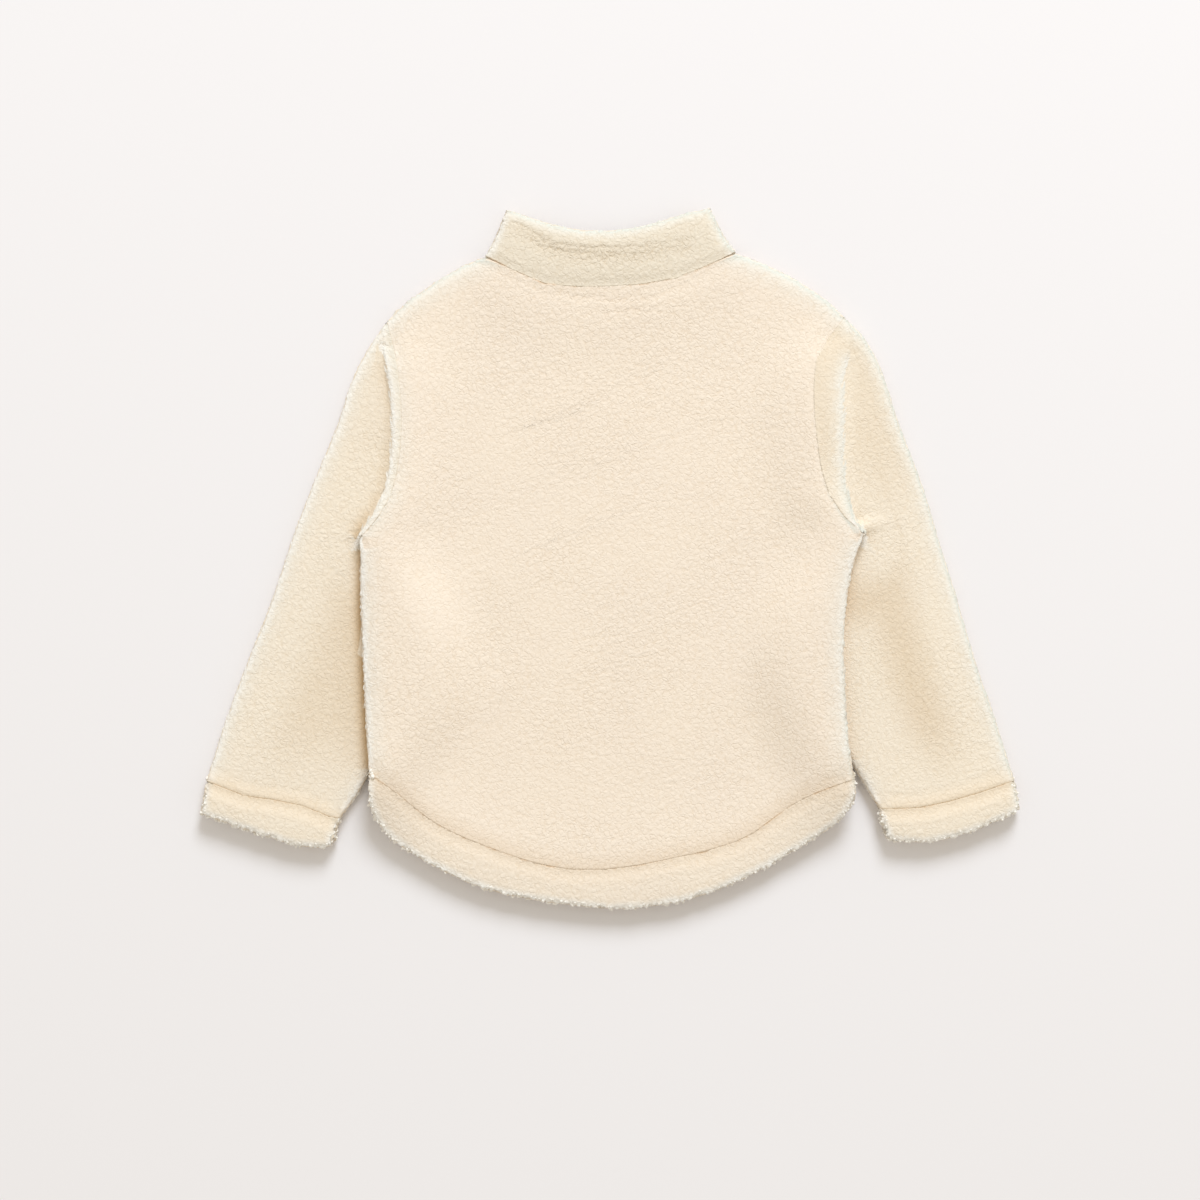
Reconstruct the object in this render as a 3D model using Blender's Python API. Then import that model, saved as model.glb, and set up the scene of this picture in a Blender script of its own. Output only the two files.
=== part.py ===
"""Sherpa fleece pullover in a child's size, laid flat on its front, so that its back shows.

Every cloth piece is a wall of its own: two sheets make the body, two flattened tubes the
sleeves, and doubled bands the collar, the cuffs and the hem. +Z is up, the collar points
along +Y, and the origin is the middle of the footprint, on the table. The tables and sizes
are in millimetres, x across the garment and y up from the hem; the meshes are in metres.
"""

import math

import bmesh
import bpy
import numpy as np

GARMENT = "sherpa_fleece_pullover"
MM = 0.001

# Cloth
FLEECE = 6.0  # one layer of sherpa, its knitted ground and its pile
DOUBLED = 8.0  # a band folded double, pile outside
SEAM_GAP = 0.3  # between pieces that are sewn together
LAYER_GAP = 0.5  # between layers that lie on each other
ROLL = 8.0  # how far in from a folded edge the cloth rounds away
ROLL_LEFT = 0.24  # share of the height that is left at the very edge
GROOVE = 0.2  # share of the height that a seam pulls in
GROOVE_WIDTH = 3.0
GROOVE_ROW = 0.12  # where a row stands beside a seam, as a share of its first step
PUFF = 1.0  # how far a doubled band swells between its seam and its edge

# Hidden front
FRONT_HEM_UP = 8.0  # the front hem ends this much above the back hem
FRONT_NECK_DROP = 24.0  # the front neckline is this much lower
FRONT_RIM_DROP = 20.0  # and so is the rim of the collar

# Where the back lies over thicker bands of the front
BAND_RISE = 3.0
HEM_RISE_REACH = (10.0, 42.0)  # full rise up to the first distance, none past the second
NECK_RISE_REACH = (28.0, 62.0)
NECK_END_REACH = (-14.0, 24.0)  # the same, outwards from the ends of the neckline
COLLAR_CREST = 3.0
CREST_PLACE = 0.72  # share of the collar's height
CREST_FALL = 0.35  # how much of the crest is gone at the rim
CAVITY_CREST = 0.7  # how much of the crest the inner side of the collar follows
RIM_ROLL = 0.6  # how much of a full roll a folded rim has on its outer side
RIM_FOLD = 2.0  # and how far its inner side turns away

# Plan outlines, a point a row: x, y
SHOULDER_LEFT = ((-178, 470), (-166, 482.5), (-144, 499), (-120, 513.5), (-100, 522))
NECK_BACK = ((-100, 522), (-74, 508.5), (-51, 499), (-22, 496.5), (29, 499), (62, 506.5), (101, 525))
SHOULDER_RIGHT = ((101, 525), (128, 514.5), (157, 499), (180, 482.5), (188, 473))
COLLAR_SIDE_LEFT = ((-100, 522), (-94, 532), (-88, 547), (-83, 559))
COLLAR_RIM = ((-83, 559), (-78, 560.5), (-64, 553), (-44, 546), (-22, 542), (6, 542), (29, 546),
              (55, 554), (75, 561), (80, 560))
COLLAR_SIDE_RIGHT = ((101, 525), (94, 534), (87, 547), (80, 560))
SIDE_LEFT = ((-191.5, 109), (-194, 140), (-197, 206), (-199, 265), (-198.6, 296))
SIDE_RIGHT = ((194, 104.5), (190.5, 132), (187, 189), (186.5, 222), (191, 265), (197, 284), (202.4, 299))
ARMHOLE_LEFT = ((-198.6, 296), (-187, 309), (-176, 324), (-169, 350), (-166, 376), (-166, 404),
                (-168.5, 430), (-172.5, 450), (-178, 470))
ARMHOLE_RIGHT = ((202.4, 299), (188, 311), (176, 327), (168.5, 350), (164.5, 378), (162.5, 404),
                 (163, 432), (168, 446), (177, 460), (188, 473))
HEM_SEAM = ((-191.5, 109), (-169, 93), (-149, 75.5), (-126, 61.5), (-97, 49.5), (-63, 37.5), (-30, 31.5),
            (8, 32.5), (41, 39), (82, 47.5), (111, 58.5), (131, 73), (149, 85.5), (167, 94.5), (194, 104.5))
HEM_END_LEFT = ((-191.5, 109), (-192, 96), (-191.5, 83))
HEM_EDGE = ((-191.5, 83), (-187, 72), (-176, 57), (-153, 40.5), (-131, 29), (-108, 18), (-75, 9), (-30, 2.5),
            (8, -1), (41, 2.5), (82, 12.5), (115, 28), (149, 47), (176, 64), (187, 74), (195.5, 88))
HEM_END_RIGHT = ((194, 104.5), (196, 97), (195.5, 88))

# Sleeves: outside from the shoulder to the cuff; inside from the underarm, where it goes in below
# the body, to the cuff, with the stretch that shows beside the hem
OUTSIDE_LEFT = ((-192, 451), (-206, 426), (-217, 390.5), (-237, 342.5), (-255, 294.5), (-271, 246.5),
                (-290, 198.5), (-308, 150.5), (-323, 102.5))
INSIDE_LEFT = ((-199.5, 291.6), (-196.5, 286), (-186, 270), (-176, 250), (-168, 225), (-164, 195), (-168, 165),
               (-178, 136), (-191, 108), (-200.5, 92), (-215, 72))
CUFF_SEAM_LEFT = ((-323, 102.5), (-288, 89), (-254, 85.5), (-232, 75.5), (-215, 72))
CUFF_END_LEFT = ((-328, 76), (-288, 62), (-237, 46), (-226, 47), (-219.5, 56))
OUTSIDE_RIGHT = ((206, 455), (220, 426.5), (231, 390.5), (249.5, 342.5), (264, 294.5), (279, 246.5),
                 (293, 198.5), (309.5, 150.5), (324, 102.5))
INSIDE_RIGHT = ((201.6, 294.6), (196.5, 288), (186, 272), (176.5, 251), (169, 225), (165, 195), (169, 166),
                (180, 139), (194, 113.5), (203, 99), (215, 80))
CUFF_SEAM_RIGHT = ((324, 102.5), (284, 89), (250, 81), (232, 79.5), (215, 80))
CUFF_END_RIGHT = ((328.5, 80), (306, 67.5), (273, 56), (237, 50.5), (225.5, 54), (218.5, 63))
ACROSS_UNDERARM = 174.0  # along the outside, from the shoulder to across the underarm

# Fold beside each armhole, from the shoulder to the underarm: share of the armhole, width of
# the raised strip beyond the seam, width of the step down to the sleeve
FOLD_LEFT = ((0.0, 7.0, 6.0), (0.12, 8.5, 3.0), (0.5, 7.0, 2.4), (0.85, 5.0, 2.4), (0.96, 3.4, 2.2),
             (1.0, 0.6, 2.6))
FOLD_RIGHT = ((0.0, 12.0, 8.0), (0.15, 21.0, 4.0), (0.45, 23.0, 3.0), (0.75, 16.0, 2.6),
              (0.9, 7.0, 2.4), (0.96, 4.0, 2.2), (1.0, 0.6, 2.6))

# Each sleeve: its side's sign in x, then its outlines and its fold
SLEEVES = {
    "left": (-1.0, OUTSIDE_LEFT, INSIDE_LEFT, CUFF_SEAM_LEFT, FOLD_LEFT),
    "right": (1.0, OUTSIDE_RIGHT, INSIDE_RIGHT, CUFF_SEAM_RIGHT, FOLD_RIGHT),
}
CUFF_ENDS = {"left": CUFF_END_LEFT, "right": CUFF_END_RIGHT}

# How far the body is lifted by the sleeve that lies below its side: y, distance from the
# middle where the full lift starts, lift
LIFT_LEFT = ((475, 178, 0.0), (452, 174, 0.6), (438, 172, 4.5), (400, 170, 5.5), (350, 173, 7.5),
             (320, 181, 11.0), (300, 190, 13.6), (285, 189, 13.6), (268, 180, 13.6), (250, 167, 13.6),
             (225, 156, 13.6), (195, 152, 13.6), (165, 156, 13.6), (136, 167, 13.6), (112, 180, 13.6),
             (95, 184, 10.0), (75, 185, 5.0), (50, 185, 0.0))
LIFT_RIGHT = ((475, 178, 0.0), (458, 174, 1.0), (438, 168, 5.5), (400, 166, 7.0), (350, 172, 8.5),
              (320, 181, 11.5), (302, 192, 13.6), (287, 190, 13.6), (270, 181, 13.6), (252, 168, 13.6),
              (225, 157, 13.6), (195, 153, 13.6), (165, 157, 13.6), (138, 169, 13.6), (115, 182, 13.6),
              (97, 185, 10.0), (75, 186, 5.0), (50, 186, 0.0))
LIFT_SLOPE = 58.0  # width of the slope from the raised side down to the middle

# Steps of the meshes along each outline
SHOULDER_STEPS = 7
NECK_STEPS = 8
SIDE_STEPS = 8
ARMHOLE_STEPS = 9
SLEEVE_MIDDLE = 3  # points across the middle of a sleeve
SHOULDER_ROWS = (0.16, 0.5)  # extra rows in the first step below the shoulder
UNDERARM_ROWS = (8.5, 8.85)  # and in the last one above the underarm
BELOW_UNDERARM = (4.0, 8.0, 13.0, 20.0, 30.0)  # distances of the rows below it, then even ones
BELOW_STEPS = 10
FIRST_ROW = 3.0  # width of a sleeve at its first row, by the shoulder
EDGE_STEPS = (0.08, 0.27, 0.6)  # shares of the first step where a rolled edge needs points
ROLLED_POINTS = (1.6, 4.5, 9.0)  # the same for a sleeve, as distances
EDGES_MOST = 0.85  # of a narrow row's width that its two edges may take
LEAST_SLANT = 0.6
WALL_SHARE = 0.66  # of the last of them: thickness of the cloth where it turns
CUFF_CAVITY = (2.7, 2.8, 2.9, 3.0)  # steps where the inner skin of a cuff has its first points
BAND_ROWS = 3
BAND_EDGE_STEPS = (0.08, 0.3)
RIM_ROWS = (0.1, 0.4)  # extra rows in the step beside a folded rim
SEWN_ROWS = (0.3,)  # and in the one beside the seam of a band
COLLAR_ROWS = 5
COLLAR_EDGE_STEPS = (0.05, 0.17, 0.38)
COLLAR_CAVITY = (0.35, 0.42, 0.5, 0.65)  # steps where its inner skin has its first points
CURVE_STEPS = 16  # between two points of a table
SHARP = math.radians(50)

# Colours seen on the pieces, sRGB
CREAM = "F4E5D0"
SLEEVE_CREAM = "EFE1CC"
COLLAR_CREAM = "E9DBC7"
BAND_CREAM = "EFE1CD"


def linear(colour):
    """The linear value of an sRGB hex colour, as a material wants it."""
    shares = [int(colour[i:i + 2], 16) / 255 for i in (0, 2, 4)]
    return [s / 12.92 if s <= 0.04045 else ((s + 0.055) / 1.055) ** 2.4 for s in shares] + [1.0]


def fleece_material(name, colour):
    material = bpy.data.materials.new(name)
    material.use_nodes = True
    shader = material.node_tree.nodes["Principled BSDF"]
    shader.inputs["Base Color"].default_value = linear(colour)
    shader.inputs["Roughness"].default_value = 0.95
    shader.inputs["Metallic"].default_value = 0.0
    return material


def dense(points):
    """Many points along the smooth curve through a table's points (Catmull-Rom)."""
    points = np.array(points, float)
    ends = np.vstack([2 * points[0] - points[1], points, 2 * points[-1] - points[-2]])
    t = even(CURVE_STEPS)[:-1, None]
    spans = []
    for a, b, c, d in zip(ends, ends[1:], ends[2:], ends[3:]):
        spans.append(b + 0.5 * t * (c - a + t * (2 * a - 5 * b + 4 * c - d + t * (3 * (b - c) + d - a))))
    return np.vstack(spans + [points[-1:]])


def lengths(points):
    return np.concatenate([[0.0], np.cumsum(np.linalg.norm(np.diff(points, axis=0), axis=1))])


def shares_of(line):
    """Share of a line's length at each of its points."""
    return lengths(line) / lengths(line)[-1]


def through(points, shares):
    """Points at these shares of the length of the smooth curve through a table's points."""
    line = dense(points)
    return at_lengths(line, np.asarray(shares) * lengths(line)[-1])


def at_lengths(line, distances):
    """Points of a line at these distances from its start."""
    along = lengths(line)
    return np.column_stack([np.interp(distances, along, line[:, i]) for i in range(2)])


def even(steps):
    return np.linspace(0, 1, steps + 1)


def joined(*lines):
    """Lines end to end, with each shared point once."""
    return np.vstack([lines[0]] + [line[1:] for line in lines[1:]])


def read(line, places):
    """Values at whole or part steps along a line of points, straight between them."""
    line = np.asarray(line, float)
    steps = np.arange(len(line))
    if line.ndim == 1:
        return np.interp(places, steps, line)
    return np.column_stack([np.interp(places, steps, line[:, i]) for i in range(line.shape[1])])


def moved_out(line, distance):
    """A line moved sideways by a constant distance, to the left of its own way."""
    way = np.diff(line, axis=0)
    way /= np.linalg.norm(way, axis=1, keepdims=True)
    normal = np.column_stack([-way[:, 1], way[:, 0]])
    before = np.vstack([normal[:1], normal])
    after = np.vstack([normal, normal[-1:]])
    corner = before + after
    corner /= 1 + (before * after).sum(axis=1, keepdims=True)
    return line + distance * corner


def patch(bottom, top, left, right, across, up):
    """A plan grid between four lines that meet at their ends, read at the given steps.

    Bottom and top run left to right, and left and right run up. Rows go up, columns across.
    """
    u = read((shares_of(bottom) + shares_of(top)) / 2, across)[None, :, None]
    v = read((shares_of(left) + shares_of(right)) / 2, up)[:, None, None]
    low, high = read(bottom, across)[None], read(top, across)[None]
    near, far = read(left, up)[:, None], read(right, up)[:, None]
    ruled = (1 - v) * low + v * high + (1 - u) * near + u * far
    corners = ((1 - v) * ((1 - u) * bottom[0] + u * bottom[-1]) + v * ((1 - u) * top[0] + u * top[-1]))
    return ruled - corners


def with_edges(steps, first=EDGE_STEPS, last=EDGE_STEPS):
    """Places of all whole steps, with more close to the first and the last."""
    close = list(first) + list(range(1, steps)) + [steps - share for share in reversed(last)]
    return np.array([0.0] + close + [float(steps)])


def smooth(share):
    share = np.clip(share, 0, 1)
    return share * share * (3 - 2 * share)


def fall(distance, reach):
    """1 up to the first distance of the reach, 0 past the second."""
    return 1 - smooth((distance - reach[0]) / (reach[1] - reach[0]))


def roll_loss(distance):
    """Share of the height lost this far in from a rolled edge."""
    share = np.clip(distance / ROLL, 0, 1)
    return (1 - ROLL_LEFT) * (1 - np.sqrt(1 - (1 - share) ** 2))


def groove_loss(distance):
    return GROOVE * (1 - smooth(distance / GROOVE_WIDTH))


def edge_loss(distance, rolled):
    """Loss beside an edge that is rolled, sewn, or in between along its length."""
    return rolled * roll_loss(distance) + (1 - rolled) * groove_loss(distance)


def spacing(grid, line):
    """Distance of each point of a grid from the edge point of its row or column."""
    return np.linalg.norm(grid - line, axis=-1)


def lift(x, y):
    """Height of the underside of the body above the table."""
    def side(table, distance):
        rows = np.array(table[::-1], float)
        start = np.interp(y, rows[:, 0], rows[:, 1])
        height = np.interp(y, rows[:, 0], rows[:, 2])
        return height * smooth(1 - (start - distance) / LIFT_SLOPE)
    return side(LIFT_LEFT, -x) + side(LIFT_RIGHT, x)


def triangles(a, b, c, d, cross):
    """The two triangles of a four-sided face, with its diagonal one way or the other."""
    return ((a, b, d), (b, c, d)) if cross else ((a, b, c), (a, c, d))


def solid(name, points, faces, colour):
    """An object from points in millimetres and the triangles of a closed skin."""
    shape = bmesh.new()
    corners = [shape.verts.new(point) for point in np.reshape(points, (-1, 3)) * MM]
    for face in faces:
        shape.faces.new([corners[i] for i in face])
    bmesh.ops.recalc_face_normals(shape, faces=shape.faces[:])
    mesh = bpy.data.meshes.new(name)
    shape.to_mesh(mesh)
    shape.free()
    mesh.shade_smooth()
    mesh.set_sharp_from_angle(angle=SHARP)
    mesh.materials.append(fleece_material(name.replace("_", " ") + " sherpa fleece", colour))
    return bpy.data.objects.new(name, mesh)


def upper_and_lower(upper_plan, upper, lower_plan, lower):
    """Closed sections: along the upper face, and back along the lower one."""
    above = np.dstack([upper_plan, upper])
    below = np.dstack([lower_plan, lower])[:, ::-1]
    return np.concatenate([above, below], axis=1)


def sheet(name, plan, top, bottom, colour):
    """A closed loft through the cross-sections of a wall, flat at its first and last one."""
    sections = upper_and_lower(plan, top, plan, bottom)
    rows, around = sections.shape[:2]
    faces = []
    for r in range(rows - 1):
        for i in range(around):
            near, far = r * around, (r + 1) * around
            j = (i + 1) % around
            faces += triangles(near + i, near + j, far + j, far + i, cross=i >= around // 2)
    for start in (0, (rows - 1) * around):
        for i in range(around // 2 - 1):
            across = start + around - 1 - i
            faces += triangles(start + i, start + i + 1, across - 1, across, False)
    return solid(name, sections, faces, colour)


def tube(name, outer, inner, colour, open_rows=0):
    """A wall between an outer and an inner skin, both open at their two ends.

    Beside its first rows a tube may also stay open along its inner edge, as a sleeve does
    where it is sewn to the armhole.
    """
    rows, around = outer.shape[:2]
    turn = around // 2 - 1

    def at(skin, r, i):
        return (skin * rows + r) * around + i % around

    faces = []
    for i in range(around):
        cross = i >= around // 2
        for r in range(open_rows if i == turn else 0, rows - 1):
            for skin in (0, 1):
                faces += triangles(at(skin, r, i), at(skin, r, i + 1), at(skin, r + 1, i + 1),
                                   at(skin, r + 1, i), cross)
        for r in (open_rows if i == turn else 0, rows - 1):
            faces += triangles(at(0, r, i), at(0, r, i + 1), at(1, r, i + 1), at(1, r, i), i == turn)
    for r in range(open_rows):
        for i in (turn, turn + 1):
            faces += triangles(at(0, r, i), at(0, r + 1, i), at(1, r + 1, i), at(1, r, i), False)
    return solid(name, np.concatenate([outer, inner]), faces, colour)


def outline_lines():
    """The body's own edges as lines of points that sewn neighbours share."""
    shoulder_left = through(SHOULDER_LEFT, even(SHOULDER_STEPS))
    shoulder_right = through(SHOULDER_RIGHT, even(SHOULDER_STEPS))
    neck_back = through(NECK_BACK, even(NECK_STEPS))
    dip = np.sin(math.pi * even(NECK_STEPS))
    neck_front = neck_back - np.outer(dip, (0.0, FRONT_NECK_DROP))
    return {
        "shoulder_left": shoulder_left,
        "shoulder_right": shoulder_right,
        "neck_back": neck_back,
        "neck_front": neck_front,
        "side_left": through(SIDE_LEFT, even(SIDE_STEPS)),
        "side_right": through(SIDE_RIGHT, even(SIDE_STEPS)),
        "armhole_left": through(ARMHOLE_LEFT, even(ARMHOLE_STEPS)),
        "armhole_right": through(ARMHOLE_RIGHT, even(ARMHOLE_STEPS)),
    }


def hem_line(table, lines, up):
    """A line along the hem, with a point for each column of the body, moved up by so much."""
    top = joined(lines["shoulder_left"], lines["neck_back"], lines["shoulder_right"])
    return through(table, shares_of(top)) + (0.0, up)


def body_grid(lines, neck, hem_up):
    """Plan of a body panel, and the share of the height that is lost at its edges."""
    top = joined(lines["shoulder_left"], neck, lines["shoulder_right"])
    left = joined(lines["side_left"], lines["armhole_left"])
    right = joined(lines["side_right"], lines["armhole_right"])
    seam = hem_line(HEM_SEAM, lines, hem_up)
    left[0], right[0] = seam[0], seam[-1]
    across = with_edges(len(top) - 1)
    up = with_edges(len(left) - 1, first=(GROOVE_ROW,))
    plan = patch(seam, top, left, right, across, up)
    sewn_up = spacing(read(left, up), left[SIDE_STEPS]) / ROLL
    free_side = np.where(up <= SIDE_STEPS, 1.0, np.clip(1 - sewn_up, 0, 1))
    neck_start, neck_end = SHOULDER_STEPS, SHOULDER_STEPS + NECK_STEPS
    from_start = spacing(read(top, across), top[neck_start]) / ROLL
    from_end = spacing(read(top, across), top[neck_end]) / ROLL
    inside = (across > neck_start) & (across < neck_end)
    free_top = np.where(inside, np.clip(1 - np.minimum(from_start, from_end), 0, 1), 1.0)
    loss = np.maximum.reduce([
        edge_loss(spacing(plan, plan[:, :1]), free_side[:, None]),
        edge_loss(spacing(plan, plan[:, -1:]), free_side[:, None]),
        edge_loss(spacing(plan, plan[-1:]), free_top[None]),
        edge_loss(spacing(plan, plan[:1]), 0.0),
    ])
    return plan, loss


def back_panel(lines):
    plan, loss = body_grid(lines, lines["neck_back"], 0.0)
    base = lift(plan[..., 0], plan[..., 1])
    rise = fall(spacing(plan, plan[:1]), HEM_RISE_REACH)
    rise = np.maximum(rise, fall(spacing(plan, plan[-1:]), NECK_RISE_REACH) * neck_share(plan, lines))
    bottom = base + FLEECE + LAYER_GAP + BAND_RISE * rise
    half = FLEECE + LAYER_GAP / 2
    top = bottom - LAYER_GAP / 2 + half * (1 - loss)
    return sheet("back", plan, top, bottom, CREAM)


def neck_share(plan, lines):
    """1 above the front collar, falling to 0 a little outside the ends of the neckline."""
    ends = lines["neck_back"][0, 0], lines["neck_back"][-1, 0]
    x = plan[..., 0]
    outside = np.maximum(ends[0] - x, x - ends[1])
    return fall(outside, NECK_END_REACH)


def front_panel(lines):
    plan, loss = body_grid(lines, lines["neck_front"], FRONT_HEM_UP)
    base = lift(plan[..., 0], plan[..., 1])
    top = base + FLEECE
    half = FLEECE + LAYER_GAP / 2
    bottom = top + LAYER_GAP / 2 - half * (1 - loss)
    return sheet("front", plan, top, bottom, CREAM)


def hem_band(name, lines, hem_up, on_top):
    """A doubled band along the hem, sewn to a panel above it and folded at its lower edge."""
    seam = hem_line(HEM_SEAM, lines, hem_up)
    edge = hem_line(HEM_EDGE, lines, hem_up)
    left = through(HEM_END_LEFT, even(BAND_ROWS))[::-1] + (0.0, hem_up)
    right = through(HEM_END_RIGHT, even(BAND_ROWS))[::-1] + (0.0, hem_up)
    across = with_edges(len(seam) - 1, first=BAND_EDGE_STEPS, last=BAND_EDGE_STEPS)
    up = with_edges(BAND_ROWS, first=RIM_ROWS, last=SEWN_ROWS)
    seam = moved_out(seam, -SEAM_GAP)
    left[-1], right[-1] = seam[0], seam[-1]
    plan = patch(edge, seam, left, right, across, up)
    from_seam = spacing(plan, plan[-1:])
    from_edge = spacing(plan, plan[:1])
    loss = np.maximum.reduce([
        roll_loss(2 * from_edge),
        roll_loss(2 * spacing(plan, plan[:, :1])),
        roll_loss(2 * spacing(plan, plan[:, -1:])),
        groove_loss(from_seam),
    ])
    base = lift(plan[..., 0], plan[..., 1])
    middle = base + DOUBLED / 2 + (DOUBLED + LAYER_GAP if on_top else 0.0)
    half = DOUBLED / 2 * (1 - loss)
    puff = PUFF * np.sin(math.pi * from_seam / (from_seam + from_edge)) if on_top else 0.0
    return sheet(name, plan, middle + half + puff, middle - half, BAND_CREAM)


def sleeve_rows(side, lines):
    """The two ends of every row across a sleeve, and how many rows lie beside the armhole.

    Rows run from the outside to the armhole seam and, below the underarm, to the inside.
    """
    sign, outside_table, inside_table, seam_table, _ = SLEEVES[side]
    seam = moved_out(lines["armhole_" + side][::-1], sign * SEAM_GAP)
    cuff_seam = through(seam_table, (0.0, 1.0))
    cuff_seam = moved_out(cuff_seam, -sign * SEAM_GAP / 2)
    outside = dense([seam[0], *outside_table[:-1], cuff_seam[0]])
    inside = dense([seam[-1], *inside_table[:-1], cuff_seam[-1]])
    places = np.sort(np.concatenate([np.arange(ARMHOLE_STEPS + 1), SHOULDER_ROWS, UNDERARM_ROWS]))
    shares = read(shares_of(seam), places)
    length = lengths(inside)[-1]
    start = BELOW_UNDERARM[-1]
    even_rows = start + (length - start) * even(BELOW_STEPS)[1:]
    below = np.concatenate([BELOW_UNDERARM, even_rows[:-1], [length - GROOVE_WIDTH, length]])
    inner = np.vstack([read(seam, places), at_lengths(inside, below)])
    across = np.concatenate([FIRST_ROW + (ACROSS_UNDERARM - FIRST_ROW) * shares,
                             ACROSS_UNDERARM + (lengths(outside)[-1] - ACROSS_UNDERARM) * below / length])
    return at_lengths(outside, across), inner, len(places) - 1


def fold_sizes(fold, shares):
    rows = np.array(fold)
    return np.interp(shares, rows[:, 0], rows[:, 1]), np.interp(shares, rows[:, 0], rows[:, 2])


def nearest_on_seam(points, side, lines):
    """Distance from the armhole seam, share of it passed, and the body's lift there."""
    seam = through(lines["armhole_" + side][::-1], even(10 * ARMHOLE_STEPS))
    gaps = np.linalg.norm(points[..., None, :] - seam, axis=-1)
    index = gaps.argmin(axis=-1)
    return gaps.min(axis=-1), index / (len(seam) - 1), lift(seam[index, 0], seam[index, 1])


def fold_lift(points, side, lines):
    """Lift of sleeve cloth: the body's own up to the fold by the armhole, none past the step."""
    distance, share, level = nearest_on_seam(points, side, lines)
    strip, step = fold_sizes(SLEEVES[side][4], share)
    return level * (1 - smooth((distance - strip) / step))


def row_places(width, inner, outer):
    """Distances from the inner end of a row at which it has its points."""
    scale = min(1.0, EDGES_MOST * width / (inner[-1] + outer[-1]))
    near, far = scale * np.array(inner), width - scale * np.array(outer)[::-1]
    middle = np.linspace(near[-1], far[0], SLEEVE_MIDDLE + 2)[1:-1]
    return np.concatenate([[0.0], near, middle, far, [width]])


def squeezed(places, sewn):
    """The same for the inner skin, which turns back inside the rolled edges."""
    wall = WALL_SHARE * (places[0] - places[3])
    moved = places[0] - wall + (places[:4] - places[0]) * (1 - WALL_SHARE)
    near = places[-4:] if sewn else WALL_SHARE * places[-4] + places[-4:] * (1 - WALL_SHARE)
    return np.concatenate([moved, places[4:-4], near])


def cuff_line(side):
    """The seam of a cuff, from the outside to the inside, with the points that a sleeve has."""
    table = SLEEVES[side][3]
    length = lengths(dense(table))[-1]
    return through(table, row_places(length, ROLLED_POINTS, ROLLED_POINTS) / length)


def sleeve(name, side, lines):
    """A flattened tube, open where it is sewn to the armhole and to the cuff."""
    sign, _, _, _, fold = SLEEVES[side]
    outer_ends, inner_ends, underarm = sleeve_rows(side, lines)
    rows = len(outer_ends)
    end = moved_out(cuff_line(side), -sign * SEAM_GAP / 2)
    end_shares = 1 - shares_of(end)
    widths = np.linalg.norm(outer_ends - inner_ends, axis=1)
    _, shares, _ = nearest_on_seam(inner_ends, side, lines)
    strips, steps = fold_sizes(fold, shares)
    slant = row_slant(outer_ends, inner_ends, underarm)
    plans = []
    for r in range(rows):
        sewn = r <= underarm
        groove = min(GROOVE_WIDTH, strips[r] / 2)
        near = np.array((groove, strips[r], strips[r] + steps[r])) / slant[r] if sewn else ROLLED_POINTS
        places = row_places(widths[r], near, ROLLED_POINTS)[::-1]
        if r == rows - 1:
            places = end_shares * widths[r]
        bend = max(0.0, (r - underarm) / (rows - 1 - underarm)) ** 3
        plans.append([across_row(outer_ends[r], inner_ends[r], distances / widths[r], end, bend)
                      for distances in (places, squeezed(places, r < underarm))])
    outer_plan = np.array([plan[0] for plan in plans])
    inner_plan = np.array([plan[1] for plan in plans])
    half = FLEECE + LAYER_GAP / 2
    from_underarm = lengths(inner_ends)
    free_inside = smooth((from_underarm - from_underarm[underarm]) / ROLL)[:, None]
    loss = np.maximum.reduce([
        roll_loss(spacing(outer_plan, outer_plan[:, :1])),
        edge_loss(spacing(outer_plan, outer_plan[:, -1:]), free_inside),
        groove_loss(spacing(outer_plan, outer_plan[-1:])),
    ])
    height = half * (1 - loss)
    middle = half + fold_lift(outer_plan, side, lines)
    outer = upper_and_lower(outer_plan, middle + height, outer_plan, middle - height)
    middle = half + fold_lift(inner_plan, side, lines)
    inner = upper_and_lower(inner_plan, middle + LAYER_GAP / 2, inner_plan, middle - LAYER_GAP / 2)
    return tube(name, outer, inner, SLEEVE_CREAM, open_rows=underarm)


def row_slant(outer_ends, inner_ends, underarm):
    """How squarely each row meets the armhole seam, up to 1."""
    way = np.gradient(inner_ends[:underarm + 1], axis=0)
    way /= np.linalg.norm(way, axis=1, keepdims=True)
    row = outer_ends[:underarm + 1] - inner_ends[:underarm + 1]
    row /= np.linalg.norm(row, axis=1, keepdims=True)
    return np.clip(np.abs(way[:, 0] * row[:, 1] - way[:, 1] * row[:, 0]), LEAST_SLANT, 1.0)


def across_row(outer_end, inner_end, shares, cuff_line, bend):
    """Points of a row by their share from its inner end, bent to the cuff seam near it."""
    straight = inner_end + shares[:, None] * (outer_end - inner_end)
    curve = at_lengths(cuff_line, (1 - shares) * lengths(cuff_line)[-1])
    chord = cuff_line[-1] + shares[:, None] * (cuff_line[0] - cuff_line[-1])
    return straight + bend * (curve - chord)


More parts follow.
